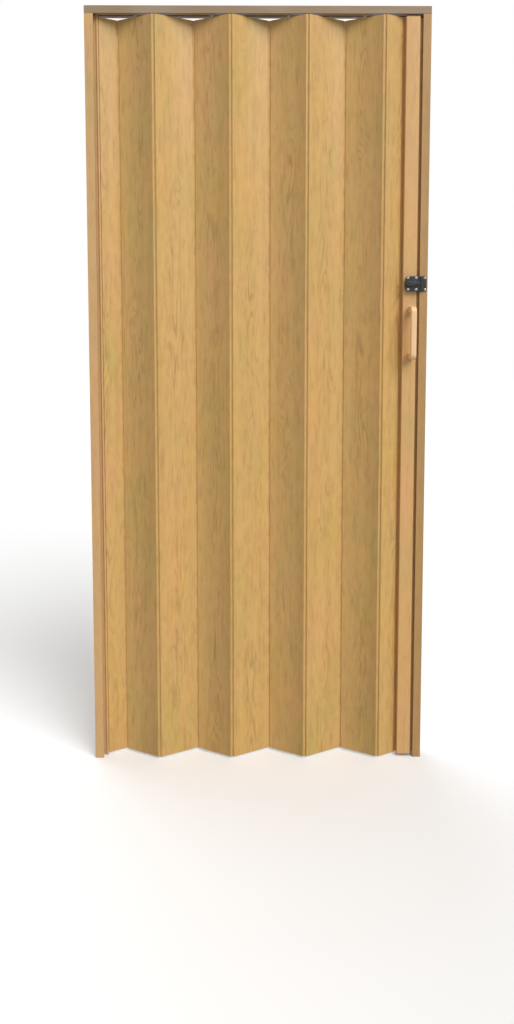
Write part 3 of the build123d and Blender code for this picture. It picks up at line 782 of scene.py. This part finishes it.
print("helpers: fill_and_extrude, finish_piece, turn_about, stand, show_bare")

# %% [markdown]
# ## The seven full boards
# A full board is the same from both ends: turn it half round and it falls on itself.
# Every second board is turned upside down, which on the drawing is a mirror.

# %% Full boards
BOARDS = 7
CHAMBERS = 7

zone = BOARD_LENGTH - 2 * (KNUCKLE + WALL)
chamber_width = (zone - (CHAMBERS - 1) * RIB) / CHAMBERS
for index in range(1, BOARDS + 1):
    bm = bmesh.new()
    upper_right, lower_right = hinge_edge(bm, BOARD_LENGTH / 2)
    lower_left, upper_left = hinge_edge(bm, -BOARD_LENGTH / 2, -1)
    join(bm, upper_right, upper_left)
    join(bm, lower_right, lower_left)
    for place_in_row in range(CHAMBERS):
        steps_off = place_in_row - (CHAMBERS - 1) / 2
        chamber(bm, steps_off * (chamber_width + RIB), chamber_width)
    fill_and_extrude(bm, BOARD_BOTTOM, BOARD_HEIGHT)
    show_bare(bm, -zone / 2 - RIB, zone / 2 + RIB)
    lean = -1 if index % 2 else 1
    if lean < 0:
        bmesh.ops.scale(bm, vec=(1, -1, 1), verts=bm.verts)
    stand(bm, WALL_PIVOT + PITCH * index, 0, lean * REST)
    name = f"panel_{index}"
    skins = [board_foil, bare_pvc]
    made = finish_piece(bm, f"board_{index}", name, "woodgrain_pvc", skins, name)
print("boards", BOARDS, "faces each", len(made.data.polygons))

# %% [markdown]
# ## The two half boards
# The first and the last board are half as long. One edge carries a round bead on a thin
# neck, which turns in the groove of the wall profile or of the post.

# %% Half boards
HALF_CHAMBERS = 3
NECK_FREE = 0.6

board_start = KNUCKLE + NECK_FREE
half_length = BOARD_LENGTH / 2
half_zone = half_length - board_start - RIB - KNUCKLE - WALL
half_width = (half_zone - (HALF_CHAMBERS - 1) * RIB) / HALF_CHAMBERS
first_middle = board_start + RIB + half_width / 2
for name, node_name, pivot, turn in (
    ("starter_board", "starter_panel", WALL_PIVOT, 0),
    ("lead_board", "lead_panel", POST_PIVOT, 180),
):
    bm = bmesh.new()
    upper, lower = hinge_edge(bm, half_length)
    bead_top, bead_low = arc(bm, (0, 0), BEAD, NECK_ANGLE, 360 - NECK_ANGLE)
    for bead_end, side, face_end in ((bead_top, 1, upper), (bead_low, -1, lower)):
        neck_end = point(bm, board_start, side * HALF_WEB)
        corner = point(bm, board_start, side * HALF_THICK)
        join(bm, bead_end, neck_end, corner, face_end)
    for place_in_row in range(HALF_CHAMBERS):
        chamber(bm, first_middle + place_in_row * (half_width + RIB), half_width)
    fill_and_extrude(bm, BOARD_BOTTOM, BOARD_HEIGHT)
    show_bare(bm, board_start + RIB / 2, half_length - KNUCKLE)
    stand(bm, pivot, 0, REST + turn)
    skins = [board_foil, bare_pvc]
    made = finish_piece(bm, name, node_name, "woodgrain_pvc", skins, node_name)
print("half boards, faces each", len(made.data.polygons))

# %% [markdown]
# ## The soft strips
# Eight soft strips hold the boards together. Each is two round beads on a thin web, and
# the web is what shows as a dark line in every fold.

# %% Soft strips
STRIPS = 8

for index in range(1, STRIPS + 1):
    side = 1 if index % 2 else -1
    bm = bmesh.new()
    half_gap = HINGE_GAP / 2
    right_low, right_top = arc(bm, (half_gap, 0), BEAD, NECK_ANGLE - 180, 180 - NECK_ANGLE)
    left_top, left_low = arc(bm, (-half_gap, 0), BEAD, NECK_ANGLE, 360 - NECK_ANGLE)
    join(bm, right_top, left_top)
    join(bm, left_low, right_low)
    fill_and_extrude(bm, BOARD_BOTTOM, BOARD_HEIGHT)
    stand(bm, WALL_PIVOT + PITCH * (index - 0.5), side * FOLD_DEPTH / 2, 0)
    name = f"hinge_strip_{index}"
    made = finish_piece(bm, f"soft_strip_{index}", name, "soft_hinge", [soft_strip], name)
print("strips", STRIPS, "faces each", len(made.data.polygons))

# %% [markdown]
# ## Screws with a cross recess
# Small pan-head screws hold the lock and its keeper. The body is turned, so it is spun
# from half a profile. The top is filled between the rim and a cross, and the cross is
# sunk into the head, where a flat near-black on its faces is painted shade.

# %% Screw body
SCREW_HEAD = 3.2
HEAD_HEIGHT = 1.5
# Steps of the rounded rim: how far in from the widest radius, and how high.
CROWN = ((0, 0.7), (0.12, 1.12), (0.4, 1.4), (0.75, HEAD_HEIGHT))
SHANK = 1.4
TIP_LENGTH = 0.8
TIP_SHARE = 0.6
TURNED_STEPS = 40
WELD_MM = 0.0005


def turn_body(own, length):
    """Spins the head and shank of a screw that stands upright; returns its top edges."""
    profile = [(0, -length), (SHANK * TIP_SHARE, -length), (SHANK, -length + TIP_LENGTH)]
    profile += [(SHANK, 0), (SCREW_HEAD, 0)]
    profile += [(SCREW_HEAD - inset, height) for inset, height in CROWN]
    chain = [own.verts.new((radius, 0, height)) for radius, height in profile]
    join(own, *chain)
    bmesh.ops.spin(
        own, geom=own.verts[:] + own.edges[:], cent=(0, 0, 0), axis=(0, 0, 1),
        angle=2 * pi, steps=TURNED_STEPS, use_merge=True,
    )
    bmesh.ops.remove_doubles(own, verts=own.verts, dist=WELD_MM)
    below_top = CROWN[-2][1]
    open_edges = [edge for edge in own.edges if edge.is_boundary]
    return [edge for edge in open_edges if min(v.co.z for v in edge.verts) > below_top]


print("screw head", 2 * SCREW_HEAD, "mm wide")

# %% [markdown]
# ## The recess and the whole screw
# The cross is a ring of twelve corners. Its walls go down and draw in a little, as the
# tip of a driver does. The screw, drawn upright, is then tipped forward, so that its
# head looks to the front of the door, and its cross stands askew there.

# %% Screw with its recess
CROSS_REACH = 1.95
CROSS_HALF = 0.55
CROSS_DEPTH = 1.1
CROSS_TAPER = 0.72
CROSS_TURN = 45


def sink_cross(own, top_edges):
    """Fills the top round a cross and sinks the cross; its faces take the painted-shade slot.
    """
    arm = ((CROSS_HALF, CROSS_HALF), (CROSS_HALF, CROSS_REACH), (-CROSS_HALF, CROSS_REACH))
    cross = []
    for quarter in range(4):
        turn = Matrix.Rotation(quarter * pi / 2, 3, "Z")
        cross += [own.verts.new(turn @ Vector((x, y, HEAD_HEIGHT))) for x, y in arm]
    ring = [own.edges.new(pair) for pair in zip(cross, cross[1:] + cross[:1])]
    bmesh.ops.triangle_fill(
        own, use_beauty=True, use_dissolve=False, edges=top_edges + ring,
    )
    sunk = bmesh.ops.extrude_edge_only(own, edges=ring)["geom"]
    low = [item for item in sunk if isinstance(item, bmesh.types.BMVert)]
    low_edges = [item for item in sunk if isinstance(item, bmesh.types.BMEdge)]
    low_edges = [edge for edge in low_edges if all(vert in low for vert in edge.verts)]
    bmesh.ops.translate(own, verts=low, vec=(0, 0, -CROSS_DEPTH))
    bmesh.ops.scale(own, vec=(CROSS_TAPER, CROSS_TAPER, 1), verts=low)
    bmesh.ops.triangle_fill(own, use_beauty=True, use_dissolve=False, edges=low_edges)
    # The sunk faces take slot 1, the near-black painted shade.
    recess = set(low)
    for face in own.faces:
        face.material_index = 1 if any(vert in recess for vert in face.verts) else 0


def add_screw(bm, x, y_head, z, length):
    """Adds one screw to bm; y_head is where the underside of its head rests."""
    own = bmesh.new()
    sink_cross(own, turn_body(own, length))
    bmesh.ops.recalc_face_normals(own, faces=own.faces)
    turn_about(own, CROSS_TURN, "Z")
    turn_about(own, 90, "X")
    bmesh.ops.translate(own, verts=own.verts, vec=(x, y_head, z))
    held = bpy.data.meshes.new("one_screw")
    own.to_mesh(held)
    own.free()
    bm.from_mesh(held)
    bpy.data.meshes.remove(held)


print("recess", 2 * CROSS_REACH, "mm wide and", CROSS_DEPTH, "mm deep")

# %% [markdown]
# ## Where the screws sit
# Four screws hold the case of the lock and two hold its keeper. The solid screws already
# fill a box whose corners are their heads, so the finer ones are placed from that box
# and keep to it. The keeper's two screws stand in one column, so the set of columns
# holds a single value there.

# %% Place the screws
def screws_of(node_name, piece_name, body):
    """Puts one finer screw at each corner of the box that the solid screws fill."""
    low, high = (Vector(corner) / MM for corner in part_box(node_name))
    columns = sorted({round(low.x + SCREW_HEAD, 2), round(high.x - SCREW_HEAD, 2)})
    rows = (low.z + SCREW_HEAD, high.z - SCREW_HEAD)
    head_rest = low.y + HEAD_HEIGHT
    bm = bmesh.new()
    for x in columns:
        for z in rows:
            add_screw(bm, x, head_rest, z, high.y - head_rest)
    # Slot 1 is the near-black painted shade of the crosses.
    skins = [steel, recess_painted_shade]
    return finish_piece(bm, piece_name, body, "steel_bright", skins, node_name)


for node_name, piece_name, body in (
    ("lock_screws", "lock_screws_fine", "lead_post"),
    ("keeper_screws", "keeper_screws_fine", "frame"),
):
    made = screws_of(node_name, piece_name, body)
    print(piece_name, len(made.data.polygons), "faces")
